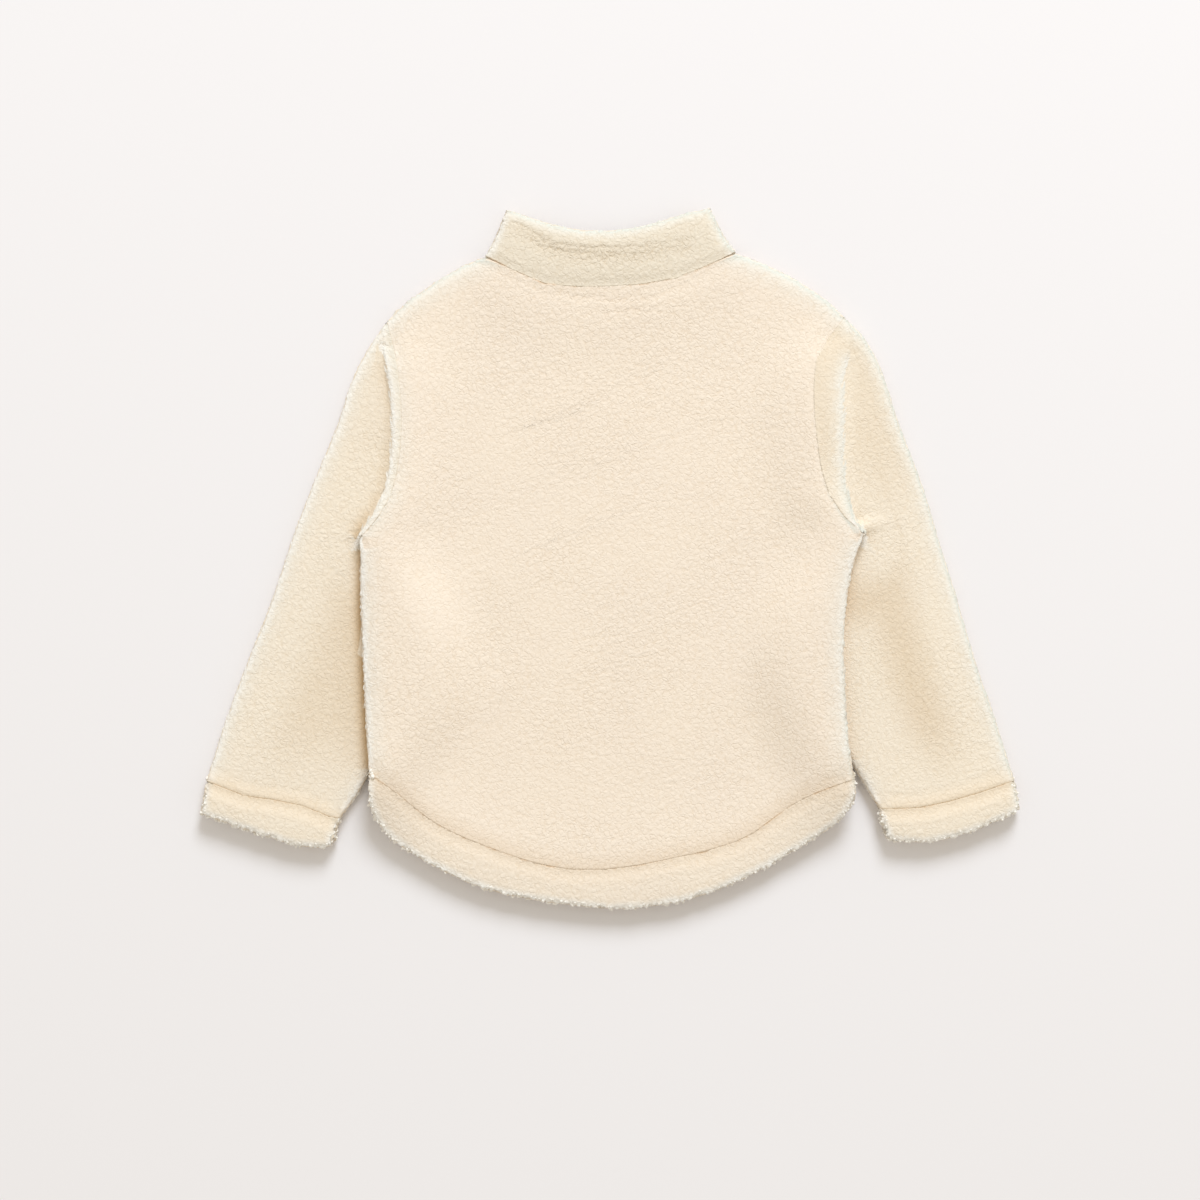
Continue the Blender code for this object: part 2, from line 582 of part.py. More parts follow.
def cuff(name, side):
    """A doubled band round the wrist, a flattened tube that is open at its end."""
    line = cuff_line(side)
    seam = moved_out(line, SLEEVES[side][0] * SEAM_GAP / 2)
    end = through(CUFF_ENDS[side], shares_of(line))
    places = np.arange(len(line))
    outside = through((seam[0], end[0]), even(BAND_ROWS))
    inside = through((seam[-1], end[-1]), even(BAND_ROWS))
    up = with_edges(BAND_ROWS, first=SEWN_ROWS, last=RIM_ROWS)
    outer_plan = patch(seam, end, outside, inside, places, up)
    last = places[-1]
    cavity = np.concatenate([CUFF_CAVITY, places[4:-4], last - np.array(CUFF_CAVITY)[::-1]])
    inner_plan = patch(seam, end, outside, inside, cavity, up)
    from_end = spacing(outer_plan, outer_plan[-1:])
    from_seam = spacing(outer_plan, outer_plan[:1])
    loss = np.maximum.reduce([
        roll_loss(spacing(outer_plan, outer_plan[:, :1])),
        roll_loss(spacing(outer_plan, outer_plan[:, -1:])),
        groove_loss(from_seam),
        RIM_ROLL * roll_loss(2 * from_end),
    ])
    half = DOUBLED + LAYER_GAP / 2
    puff = PUFF * np.sin(math.pi * from_seam / (from_seam + from_end))
    height = half * (1 - loss)
    outer = upper_and_lower(outer_plan, half + height + puff, outer_plan, half - height)
    level = np.full(inner_plan.shape[:2], half)
    inner = upper_and_lower(inner_plan, level + LAYER_GAP / 2, inner_plan, level - LAYER_GAP / 2)
    return tube(name, outer, inner, BAND_CREAM)


def collar(lines):
    """A doubled standing band, flattened, with a crest near its rim and its front lower."""
    left = through(COLLAR_SIDE_LEFT, even(COLLAR_ROWS))
    right = through(COLLAR_SIDE_RIGHT, even(COLLAR_ROWS))
    rim_back = through(COLLAR_RIM, even(NECK_STEPS))
    rim_front = rim_back - np.outer(np.sin(math.pi * even(NECK_STEPS)), (0.0, FRONT_RIM_DROP))
    places = with_edges(NECK_STEPS, first=COLLAR_EDGE_STEPS, last=COLLAR_EDGE_STEPS)
    cavity = with_edges(NECK_STEPS, first=COLLAR_CAVITY, last=COLLAR_CAVITY)[1:-1]
    up = with_edges(COLLAR_ROWS, first=SEWN_ROWS, last=RIM_ROWS)

    def plan(neck, rim, across):
        seam = moved_out(neck, SEAM_GAP)
        sides = left.copy(), right.copy()
        sides[0][0], sides[1][0] = seam[0], seam[-1]
        return patch(seam, rim, *sides, across, up)

    def half_height(grid):
        loss = np.maximum.reduce([
            roll_loss(spacing(grid, grid[:, :1])),
            roll_loss(spacing(grid, grid[:, -1:])),
            groove_loss(spacing(grid, grid[:1])),
            RIM_ROLL * roll_loss(2 * spacing(grid, grid[-1:])),
        ])
        return half * (1 - loss)

    def rim_fold(grid):
        return RIM_FOLD * roll_loss(2 * spacing(grid, grid[-1:]))

    def arch(across):
        return np.sin(math.pi * across / NECK_STEPS) ** 0.5

    half = DOUBLED + LAYER_GAP / 2
    share = (up / COLLAR_ROWS)[:, None]
    past = smooth((share - CREST_PLACE) / (1 - CREST_PLACE))
    crest = COLLAR_CREST * (smooth(share / CREST_PLACE) - CREST_FALL * past)
    back, front = plan(lines["neck_back"], rim_back, places), plan(lines["neck_front"], rim_front, places)
    outer = upper_and_lower(back, half + half_height(back) + crest * arch(places),
                            front, half - half_height(front))
    back, front = plan(lines["neck_back"], rim_back, cavity), plan(lines["neck_front"], rim_front, cavity)
    risen = CAVITY_CREST * crest * arch(cavity) + rim_fold(back)
    inner = upper_and_lower(back, half + LAYER_GAP / 2 + risen,
                            front, half - LAYER_GAP / 2 - rim_fold(front))
    return tube("collar", outer, inner, COLLAR_CREAM)


def centred(pieces):
    """Moves every piece so that the origin is the middle of the footprint, on the table."""
    points = np.array([v.co for piece in pieces for v in piece.data.vertices])
    low, high = points.min(axis=0), points.max(axis=0)
    middle = (low + high) / 2
    for piece in pieces:
        for vertex in piece.data.vertices:
            vertex.co.x -= middle[0]
            vertex.co.y -= middle[1]
            vertex.co.z -= low[2]


def build():
    for obj in list(bpy.data.objects):
        bpy.data.objects.remove(obj)
    collection = bpy.data.collections.new(GARMENT)
    bpy.context.scene.collection.children.link(collection)
    lines = outline_lines()
    pieces = [
        back_panel(lines),
        front_panel(lines),
        sleeve("sleeve_left", "left", lines),
        sleeve("sleeve_right", "right", lines),
        cuff("cuff_left", "left"),
        cuff("cuff_right", "right"),
        collar(lines),
        hem_band("hem_band_back", lines, 0.0, on_top=True),
        hem_band("hem_band_front", lines, FRONT_HEM_UP, on_top=False),
    ]
    centred(pieces)
    for piece in pieces:
        collection.objects.link(piece)


build()
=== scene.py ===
import math
import random

import bmesh
import bpy
import numpy as np
from bpy.props import FloatProperty, FloatVectorProperty, PointerProperty
from mathutils import Matrix, Vector
from mathutils.bvhtree import BVHTree
from mathutils.kdtree import KDTree


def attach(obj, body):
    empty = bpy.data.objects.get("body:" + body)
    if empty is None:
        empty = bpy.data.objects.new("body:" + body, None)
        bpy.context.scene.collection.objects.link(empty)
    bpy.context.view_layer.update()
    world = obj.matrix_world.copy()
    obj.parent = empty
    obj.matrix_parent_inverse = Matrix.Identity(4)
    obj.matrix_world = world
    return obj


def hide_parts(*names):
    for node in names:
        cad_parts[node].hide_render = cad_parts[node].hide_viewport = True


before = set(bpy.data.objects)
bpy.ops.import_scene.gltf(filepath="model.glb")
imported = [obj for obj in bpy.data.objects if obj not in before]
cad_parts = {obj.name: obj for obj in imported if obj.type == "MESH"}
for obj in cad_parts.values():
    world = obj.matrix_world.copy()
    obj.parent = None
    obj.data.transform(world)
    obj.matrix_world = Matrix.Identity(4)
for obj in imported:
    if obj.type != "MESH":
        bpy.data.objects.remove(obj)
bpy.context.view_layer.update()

bl_info = {
    "name": "Sherpa fleece pullover",
    "version": (1, 0, 0),
    "blender": (4, 5, 0),
    "location": "View3D > Sidebar > Pullover",
    "description": "Dresses a laid-out child's pullover in cream sherpa fleece",
    "category": "Object",
}

MM = 0.001
SEED = 11

# Cloth pieces: material slot and colour; edge length of the mesh, reach of the painted rim light and
# unevenness of the pile along free edges, in mm; flat width and length of the cloth in metres, its
# area in square metres, and what it lies on
PIECES = {
    "back": dict(
        slot="back", colour="body", edge=2.15, rim=22.0, ragged=1.5, flat=(0.402, 0.50), area=0.168,
        on=["front_cloth", "hem_band_front_cloth", "collar_cloth"]),
    "front": dict(
        slot="front", colour="body", edge=3.6, rim=20.0, ragged=1.0, flat=(0.402, 0.49), area=0.162,
        on=["table_top", "sleeve_left_cloth", "sleeve_right_cloth"]),
    "sleeve_left": dict(
        slot="sleeves", colour="sleeve", edge=1.9, rim=17.0, ragged=0.8, flat=(0.225, 0.40), area=0.067,
        on=["table_top"]),
    "sleeve_right": dict(
        slot="sleeves", colour="sleeve", edge=1.9, rim=17.0, ragged=0.8, flat=(0.235, 0.40), area=0.072,
        on=["table_top"]),
    "cuff_left": dict(
        slot="bands", colour="sleeve", edge=1.5, rim=8.0, ragged=2.6, flat=(0.24, 0.032), area=0.0075,
        on=["table_top"]),
    "cuff_right": dict(
        slot="bands", colour="sleeve", edge=1.5, rim=8.0, ragged=2.6, flat=(0.24, 0.032), area=0.0075,
        on=["table_top"]),
    "collar": dict(
        slot="collar", colour="collar", edge=1.5, rim=10.0, ragged=1.3, flat=(0.36, 0.06), area=0.02,
        on=["table_top"]),
    "hem_band_back": dict(
        slot="bands", colour="band", edge=1.6, rim=8.0, ragged=2.6, flat=(0.44, 0.036), area=0.0157,
        on=["hem_band_front_cloth"]),
    "hem_band_front": dict(
        slot="bands", colour="band", edge=2.4, rim=8.0, ragged=2.6, flat=(0.44, 0.036), area=0.0157,
        on=["table_top"]),
}

# Creases that lying by hand has left: x and y of their points, depth and half width, in mm
CREASES = {
    "collar": [
        (((-79, 268.5), (-71, 266.5), (-62, 260.5), (-51, 253), (-33, 249.5), (-15, 248),
          (8, 248.5), (24, 249), (44, 252.5), (66, 256)), 0.55, 1.6),
        (((-76, 262), (-60, 254), (-48, 247), (-32, 243), (-8, 241.5), (24, 242.5), (60, 249)),
         0.9, 11.0),
        (((-70, 257), (-56, 249.5), (-40, 245), (-20, 243.5)), 0.5, 1.5)],
    "sleeve_left": [
        (((-187, 170.5), (-181, 171.2), (-174.5, 170)), 0.8, 1.8)],
    "back": [
        (((-62, 217), (-30, 209), (4, 207), (38, 209)), 0.35, 5.0),
        (((-20, 198), (14, 197), (50, 201)), 0.25, 6.0)],
}
WANDERING = 1.3  # how far a crease wanders from its line, in mm

# Curls of pile along the outer edges of the bands: spacing, half length and half width in mm, and
# whether the edge faces down (-1) or up (1) on the table
FRINGES = {
    "hem_band_back": (2.9, 2.0, 1.25, -1),
    "hem_band_front": (3.4, 1.8, 1.2, -1),
    "cuff_left": (2.8, 1.8, 1.15, -1),
    "cuff_right": (2.8, 1.8, 1.15, -1),
    "collar": (3.4, 1.2, 0.9, 1),
}

# Two loose ends of pile at the left of the hem, in mm
LOOSE = (((-190.6, -169.6, 10.5), (-192.8, -171.0, 11.6), (-194.9, -173.6, 10.4)),
         ((-173.6, -222.6, 8.0), (-175.0, -223.8, 9.0), (-176.4, -226.6, 7.6)))

# Painted shade that the sleeves gather across their width: distance from the outer side where it is
# full and distance over which it grows in mm, its share there, and its share all over the upper arm
PAINTED_SLEEVE_SHADE = {"sleeve_left": (62.0, 38.0, 0.36, 0.08), "sleeve_right": (52.0, 34.0, 0.5, 0.26)}

# Middle of each underarm, and how far the sleeve is drawn under the body there, in mm
UNDERARMS = {"sleeve_left": (-202.5, 15.5, 4.0), "sleeve_right": (203.5, 17.0, 7.0)}
DRAWN_REACH = 20  # reach of that pull round the middle, in mm
DRAWN_HEIGHT = 15  # and the height above which nothing is pulled, in mm

STEEP = 0.6  # a face whose normal rises less than this is the side of an edge
AGAINST = 2.6  # cloth that has another layer this near, in mm, doesn't show
SEWN = 0.8  # and cloth this near to its neighbour is sewn to it
HALF_SEAM = 0.15  # half the gap that the solids keep at a seam, in mm
MEETING = 0.12  # how far past its middle each pile reaches, in mm

FILLED = 0.8  # share of the hollow along a seam that the pile fills
HEM_FALL = 0.6  # how far the cloth falls towards the hem's seam, in mm
LOWER = -0.1  # seams below this y, in metres, are those of the hem and the cuffs
OUTER = 0.2  # and those of them further out than this x, in metres, are the cuffs' seams
LEVEL_REACH = (8, 12)  # reach over which cloth comes level at a seam and at a lower one, in mm
MOST_LEVELLED = 2.6  # and how far it moves at most, in mm
SEAM_WIDTH = 3.0  # reach of the groove and the thread of a seam, in mm
GROOVE = 0.2  # depth of that groove, in mm
DIP = (0.34, 0.46)  # share of the painted shade in the dips along the hem's seam and the cuffs' seams
DIP_REACH = 16  # and its reach, in mm

OUTERMOST = 7  # width of the outermost part of a free edge, in mm
DEEP_REACH = 13  # reach of the deep painted shade before an edge that stands over the cloth, in mm
FAINT_REACH = 30  # reach of the faint painted shade beyond it, in mm
FAINT = 0.12  # and its share
AWAY, TOWARDS = 1.05, 0.25  # strength of both on the side away from the window and towards it
WINDOW = (0.36, 0.93)  # direction of the window, along x and y

LOT = 150  # curls that are made at a time, because adding to a large mesh is slow


def linear(colour):
    """The linear value of an sRGB hex colour."""
    shares = [int(colour[i:i + 2], 16) / 255 for i in (0, 2, 4)]
    return [s / 12.92 if s <= 0.04045 else ((s + 0.055) / 1.055) ** 2.4 for s in shares] + [1.0]


def add(tree, kind, settings=(), inputs=(), **links):
    """Adds a node: its settings, the values of its inputs, and what is linked to them."""
    node = tree.nodes.new(kind)
    for name, value in dict(settings).items():
        setattr(node, name, value)
    for name, value in dict(inputs).items():
        node.inputs[name].default_value = value
    for name, source in links.items():
        socket = node.inputs[int(name[1:])] if name[0] == "_" else node.inputs[name]
        tree.links.new(source, socket)
    return node


class PulloverSettings(bpy.types.PropertyGroup):
    clump: FloatProperty(
        name="Clump size", description="Width of the tufts that the pile curls into",
        default=0.0046, min=0.002, unit="LENGTH", subtype="DISTANCE")
    pile: FloatProperty(
        name="Pile relief", description="Height from the cracks between the tufts to their tops",
        default=0.00044, min=0.0, unit="LENGTH", subtype="DISTANCE")
    ripple: FloatProperty(
        name="Ripple", description="Height of the soft unevenness of cloth that was laid by hand",
        default=0.00018, min=0.0, unit="LENGTH", subtype="DISTANCE")
    body: FloatVectorProperty(
        name="Body", description="Colour of the body's fleece", subtype="COLOR", size=4,
        default=linear("EEE0CE"), min=0, max=1)
    sleeve: FloatVectorProperty(
        name="Sleeves", description="Colour of the fleece of sleeves and cuffs", subtype="COLOR", size=4,
        default=linear("EDE1CE"), min=0, max=1)
    band: FloatVectorProperty(
        name="Hem bands", description="Colour of the hem bands' fleece", subtype="COLOR", size=4,
        default=linear("EDE0CE"), min=0, max=1)
    collar: FloatVectorProperty(
        name="Collar", description="Colour of the collar's fleece", subtype="COLOR", size=4,
        default=linear("E7DCC9"), min=0, max=1)
    # Colour of the painted rim light along free edges
    rim: FloatVectorProperty(
        name="Rims", description="Paler colour where the pile stands up along free edges",
        subtype="COLOR", size=4, default=linear("E8E4DA"), min=0, max=1)


def hashed(cell, seed):
    """A number from 0 to 1 for each whole-number cell, always the same for the same cell."""
    n = cell[..., 0] * 374761393 + cell[..., 1] * 668265263 + cell[..., 2] * 2147483647 + seed * 974711
    n = (n ^ (n >> 13)) * 1274126177 & 0xFFFFFFFF
    n = (n ^ (n >> 15)) * 2246822519 & 0xFFFFFFFF
    return ((n ^ (n >> 16)) & 0xFFFFFF) / float(0xFFFFFF)


def drift(points, size, seed):
    """Smooth noise from -1 to 1 whose features have this size."""
    place = points / size
    low = np.floor(place)
    share = place - low
    share = share * share * (3 - 2 * share)
    low = low.astype(np.int64)
    total = np.zeros(len(points))
    for corner in np.ndindex(2, 2, 2):
        weight = np.prod(np.where(corner, share, 1 - share), axis=1)
        total += weight * hashed(low + corner, seed)
    return 2 * total - 1


def smooth(share):
    """A share from 0 to 1 that starts and ends gently."""
    share = np.clip(share, 0, 1)
    return share * share * (3 - 2 * share)


def tufts(points, size, seed):
    """Height of rounded tufts, 0 in the cracks between them and 1 at their tops."""
    bend = np.column_stack([drift(points, size * 0.8, seed + i) for i in (1, 2, 3)])
    bent = points + 0.35 * size * bend
    place = bent / size
    low = np.floor(place).astype(np.int64)
    first = np.full(len(points), 9.0)
    second = np.full(len(points), 9.0)
    for step in np.ndindex(3, 3, 3):
        cell = low + np.array(step) - 1
        centre = cell + np.column_stack([hashed(cell, seed + i) for i in (7, 8, 9)])
        distance = np.linalg.norm(place - centre, axis=1)
        second = np.minimum(second, np.maximum(first, distance))
        first = np.minimum(first, distance)
    return smooth((second - first) / 0.5)


def all_walls():
    """A search tree of every CAD solid's faces."""
    shape = bmesh.new()
    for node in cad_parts.values():
        shape.from_mesh(node.data)
    tree = BVHTree.FromBMesh(shape)
    shape.free()
    return tree


def height_behind(place, way, back, walls):
    """Height of the uppermost cloth at this many mm behind a place on the side of an edge."""
    above = Vector((place.x - way.x * back * MM, place.y - way.y * back * MM, 0.05))
    hit = walls.ray_cast(above, Vector((0, 0, -1)))[0]
    return place.z if hit is None else hit.z


class Edges:
    """Places along the free edges and the seams that can be seen from above, to measure from.

    Each has its place, the way out of the cloth, the height of the cloth's top and its node. A
    place on a seam also has the height at which the two sides meet.
    """

    def __init__(self, walls):
        self.free, self.sewn = [], []
        for name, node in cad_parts.items():
            mesh = node.data
            for face in mesh.polygons:
                if abs(face.normal.z) < STEEP:
                    self.sample([mesh.vertices[i].co for i in face.vertices], face.normal, walls, name)
        self.sewn = self.levelled(walls)
        self.sewn_tree = self.tree(self.sewn)
        self.free = [entry for entry in self.free if not self.stands_over_a_seam(entry)]
        self.free_tree = self.tree(self.free)

    def stands_over_a_seam(self, entry):
        """Whether this is only the higher side of a seam, and not an edge of its own."""
        place, _, top, _ = entry
        _, index, distance = self.sewn_tree.find((place.x, place.y, 0))
        return distance < 3 * MM and abs(self.sewn[index][2] - top) < 5.5 * MM

    def sample(self, corners, normal, walls, name):
        """Keeps places every 2 mm along a side face, where nothing lies above them."""
        centre = sum(corners, Vector()) / len(corners)
        pairs = [(a, b) for a, b in zip(corners, corners[1:] + corners[:1])]
        start, end = max(pairs, key=lambda pair: (pair[1] - pair[0]).length)
        steps = max(1, math.ceil((end - start).length / (2 * MM)))
        across = 2 * (centre - (start + end) / 2)
        for step in range(steps + 1):
            edge = start.lerp(end, step / steps).lerp(centre, 0.05)
            place = edge + 0.1 * across
            outside = place + normal * HALF_SEAM * MM
            if walls.ray_cast(outside, Vector((0, 0, 1)))[0] is not None:
                continue
            levels = [edge + share * across for share in (0.1, 0.5, 0.85)]
            gaps = [gap_before(level, normal, walls, AGAINST) for level in levels]
            gap = min([found for found in gaps if found is not None], default=None)
            if gap is None:
                top = max(height_behind(place, normal, back, walls) for back in (0.2, 2.5, 5.0))
                self.free.append((place, normal.copy(), top, name))
            elif gap < SEWN * MM:
                self.sewn.append((place, normal.copy(), height_behind(place, normal, 0.2, walls), name))

    @staticmethod
    def tree(places):
        """A search tree of places by where they are on the table."""
        tree = KDTree(len(places))
        for index, entry in enumerate(places):
            tree.insert((entry[0].x, entry[0].y, 0), index)
        tree.balance()
        return tree

    def levelled(self, walls):
        """The seams' uppermost places, each with the height at which its two sides meet."""
        tree = self.tree(self.sewn)
        near = [[i for _, i, _ in tree.find_range((entry[0].x, entry[0].y, 0), 2.5 * MM)]
                for entry in self.sewn]
        filled = []
        for place, way, top, _ in self.sewn:
            plateau = max(height_behind(place, way, back, walls) for back in (0.2, 3.0, 6.0))
            filled.append(top + FILLED * min(plateau - top, 3 * MM))
        kept = []
        for k, (place, way, top, name) in enumerate(self.sewn):
            lowest = max(self.sewn[i][2] for i in near[k]) - 4 * MM
            if top < lowest:
                continue
            facing = [filled[i] for i in near[k]
                      if self.sewn[i][1].dot(way) < -0.3 and self.sewn[i][2] > lowest]
            level = (filled[k] + sum(facing) / len(facing)) / 2 if facing else filled[k]
            fall = HEM_FALL * MM if place.y < LOWER and abs(place.x) < OUTER else 0
            kept.append((place, way, top, name, level - fall))
        return kept

    def rise(self, name, points, normals):
        """How far a piece's surface rises or falls near its seams, so that the two sides meet."""
        own = [entry for entry in self.sewn if entry[3] == name]
        near, lift = np.ones(len(points)), np.zeros(len(points))
        if not own:
            return lift
        tree = self.tree(own)
        for i in np.flatnonzero(normals[:, 2] > 0.1):
            x, y, z = points[i]
            found = tree.find_n((x, y, 0), 5)
            place, way, top, _, _ = own[found[0][1]]
            if abs(z - top) < 6 * MM and (x - place.x) * way.x + (y - place.y) * way.y < 0.5 * MM:
                near[i] = found[0][2] / (LEVEL_REACH[place.y < LOWER] * MM)
                levels = [own[index][4] for _, index, _ in found if abs(own[index][2] - top) < 2 * MM]
                lift[i] = sum(levels) / len(levels) - z
        return np.clip(lift, -MOST_LEVELLED * MM, MOST_LEVELLED * MM) * (1 - smooth(near))

    def rim_and_shade(self, points, shown, reach):
        """Shares of the painted rim light behind a free edge, of its outermost part, and of painted
        shade before it.
        """
        rim, outermost, shade = np.zeros(len(points)), np.zeros(len(points)), np.zeros(len(points))
        for i in np.flatnonzero(shown):
            x, y, z = points[i]
            _, index, distance = self.free_tree.find((x, y, 0))
            place, way, top, _ = self.free[index]
            out = (x - place.x) * way.x + (y - place.y) * way.y
            # Painted shade before an edge that stands over lower cloth, stronger on the side away from
            # the window
            if out > 0 and z < top - 1.5 * MM:
                deep = max(0.0, 1 - distance / (DEEP_REACH * MM)) ** 2
                deep += FAINT * max(0.0, 1 - distance / (FAINT_REACH * MM))
                shade[i] = deep * min(1.0, (top - z) / (10 * MM)) * (AWAY if place.x < 0 else TOWARDS)
            elif out < 2.5 * MM:
                rim[i] = max(0.0, 1 - distance / (reach * MM)) ** 1.6
                outermost[i] = max(0.0, 1 - distance / (OUTERMOST * MM))
        return rim, smooth(outermost), shade

    def painted_sleeve_shade(self, name, points, shown):
        """Share of the broad painted shade across a sleeve, by the distance from its outer side."""
        share = np.zeros(len(points))
        if name not in PAINTED_SLEEVE_SHADE:
            return share
        full, grown, strength, higher = PAINTED_SLEEVE_SHADE[name]
        side = 1 if name.endswith("right") else -1
        tree = self.tree([entry for entry in self.free if entry[3] == name and entry[1].x * side > 0.3])
        for i in np.flatnonzero(shown):
            share[i] = tree.find((points[i][0], points[i][1], 0))[2] / MM
        away = np.abs(share - full) if side > 0 else np.maximum(full - share, 0)
        along = points[:, 1] / MM
        broad = strength * (1 - smooth(away / grown)) * smooth((along + 190) / 70)
        return (broad + higher * smooth((along - 20) / 80) * smooth(share / 14)) * shown

    def seam(self, points, shown):
        """1 on a seam and falling to 0 beside it, less at the armholes.

        Also the share of the faint painted shade in the broad dip along the seams of the hem and the
        cuffs.
        """
        near, dip = np.zeros(len(points)), np.zeros(len(points))
        for i in np.flatnonzero(shown):
            _, index, distance = self.sewn_tree.find((points[i][0], points[i][1], 0))
            place = self.sewn[index][0]
            share = 0.3 if abs(place.x) > 0.15 and place.y > LOWER else 1.0
            near[i] = share * max(0.0, 1 - distance / (SEAM_WIDTH * MM))
            if place.y < LOWER:
                dip[i] = DIP[abs(place.x) > OUTER] * max(0.0, 1 - distance / (DIP_REACH * MM))
        return near, dip


def merged_copy(name, walls):
    """A CAD node's mesh as four-sided faces, with its seams creased so that they stay sharp."""
    shape = bmesh.new()
    shape.from_mesh(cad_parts[name].data)
    bmesh.ops.remove_doubles(shape, verts=shape.verts[:], dist=1e-6)
    bmesh.ops.join_triangles(
        shape, faces=shape.faces[:], cmp_seam=False, cmp_sharp=False, cmp_uvs=False, cmp_vcols=False,
        cmp_materials=False, angle_face_threshold=math.radians(35),
        angle_shape_threshold=math.radians(120))
    crease = shape.edges.layers.float.new("crease_edge")
    sewn = {face for face in shape.faces if abs(face.normal.z) < STEEP
            and gap_before(face.calc_center_median(), face.normal, walls, SEWN)}
    for edge in shape.edges:
        if len(sewn.intersection(edge.link_faces)) == 1:
            edge[crease] = 1.0
    mesh = bpy.data.meshes.new(name + "_cloth")
    shape.to_mesh(mesh)
    shape.free()
    return mesh


def gap_before(place, way, walls, reach):
    """Distance to the next layer of cloth, or None where none is this near in mm.

    A rounded piece lies a little inside its solid, so the way out through that doesn't count.
    """
    gone = 0.02 * MM
    while gone < reach * MM:
        hit, normal, _, distance = walls.ray_cast(place + way * gone, way, reach * MM - gone)
        if hit is None:
            return None
        if normal.dot(way) < 0:
            return gone + distance
        gone += distance + 0.01 * MM
    return None


def rounded(mesh, levels):
    """The same mesh after Catmull-Clark subdivision, which rounds its folds."""
    obj = bpy.data.objects.new("rounding", mesh)
    bpy.context.scene.collection.objects.link(obj)
    modifier = obj.modifiers.new("round", "SUBSURF")
    modifier.levels = modifier.render_levels = levels
    graph = bpy.context.evaluated_depsgraph_get()
    result = bpy.data.meshes.new_from_object(obj.evaluated_get(graph))
    bpy.data.objects.remove(obj)
    bpy.data.meshes.remove(mesh)
    return result


def close_seams(name, shape, walls, edges):
    """Brings the two sides of each seam together.

    Where a seam can be seen from above, its whole side is set upright just past the middle. The
    other sides that face a neighbour move halfway to it.
    """
    own = [entry for entry in edges.sewn if entry[3] == name]
    tree = edges.tree(own)
    flush = set()
    for vert in {vert for face in shape.faces if abs(face.normal.z) < STEEP for vert in face.verts}:
        _, index, distance = tree.find((vert.co.x, vert.co.y, 0)) if own else (None, None, 1.0)
        if distance < 1.6 * MM:
            place, way = own[index][0], own[index][1].xy.normalized()
            passed = (vert.co.xy - place.xy).dot(way)
            vert.co.xy += way * ((HALF_SEAM + MEETING) * MM - passed)
            flush.add(vert)
    moves = {}
    for face in shape.faces:
        if abs(face.normal.z) > STEEP:
            continue
        gap = gap_before(face.calc_center_median(), face.normal, walls, SEWN)
        if gap is None:
            continue
        for vert in face.verts:
            if vert not in flush:
                moves.setdefault(vert, []).append((face.normal.copy(), gap))
    for vert, found in moves.items():
        way = sum((normal for normal, _ in found), Vector()).normalized()
        gap = sum(gap for _, gap in found) / len(found)
        vert.co += way * (gap / 2 + MEETING * MM)


def close_underarm(name, shape):
    """Draws the sleeve's edge under the body at the underarm and smooths its top there."""
    x, y, drawn = UNDERARMS[name]
    middle = Vector((x, y)) * MM
    inward = -1 if x > 0 else 1
    near = []
    for vert in shape.verts:
        distance = (vert.co.xy - middle).length
        if distance < 14 * MM and vert.normal.z > 0.2:
            near.append(vert)
        share = 1 - smooth(distance / (DRAWN_REACH * MM))
        share *= 1 - smooth((vert.co.z - DRAWN_HEIGHT * MM) / (3 * MM))
        vert.co.x += inward * drawn * MM * share
    for _ in range(25):
        bmesh.ops.smooth_vert(shape, verts=near, factor=0.5, use_axis_z=True)


def refined(shape, edge_length, layer):
    """Subdivides the faces that show until their edges are short enough, less so underneath."""
    for _ in range(4):
        long = []
        for edge in shape.edges:
            if all(face[layer] for face in edge.link_faces):
                continue
            under = all(face.normal.z < -0.5 for face in edge.link_faces)
            if edge.calc_length() > edge_length * (2.4 if under else 1.0):
                long.append(edge)
        if not long:
            break
        bmesh.ops.subdivide_edges(shape, edges=long, cuts=1, use_grid_fill=True, use_single_edge=True)


def crease_depth(points, creases):
    """Depth of the hand-placed creases at each point, in metres."""
    depth = np.zeros(len(points))
    if not creases:
        return depth
    bend = np.column_stack([drift(points, 6 * MM, SEED + i) for i in (20, 21)])
    bent = points[:, :2] + WANDERING * MM * bend
    for line, deep, half_width in creases:
        ends = np.array(line, float) * MM
        distance = np.full(len(points), 9.0)
        along = np.zeros(len(points))
        for k, (a, b) in enumerate(zip(ends, ends[1:])):
            t = np.clip(((bent - a) @ (b - a)) / ((b - a) @ (b - a)), 0, 1)
            gap = np.linalg.norm(bent - (a + t[:, None] * (b - a)), axis=1)
            along = np.where(gap < distance, (k + t) / (len(ends) - 1), along)
            distance = np.minimum(distance, gap)
        fade = np.sin(math.pi * np.clip(along, 0.06, 0.94)) ** 0.5
        depth += deep * MM * fade * (1 - smooth(distance / (half_width * MM)))
    return depth


def floats(mesh, name, values):
    """Gives each vertex a number that the material reads."""
    attribute = mesh.attributes.new(name, "FLOAT", "POINT")
    attribute.data.foreach_set("value", values.astype(np.float32))


def vectors(source, name):
    """The three numbers that each of a mesh's vertices has under this name, as rows."""
    values = np.empty(len(source) * 3)
    source.foreach_get(name, values)
    return values.reshape(-1, 3)


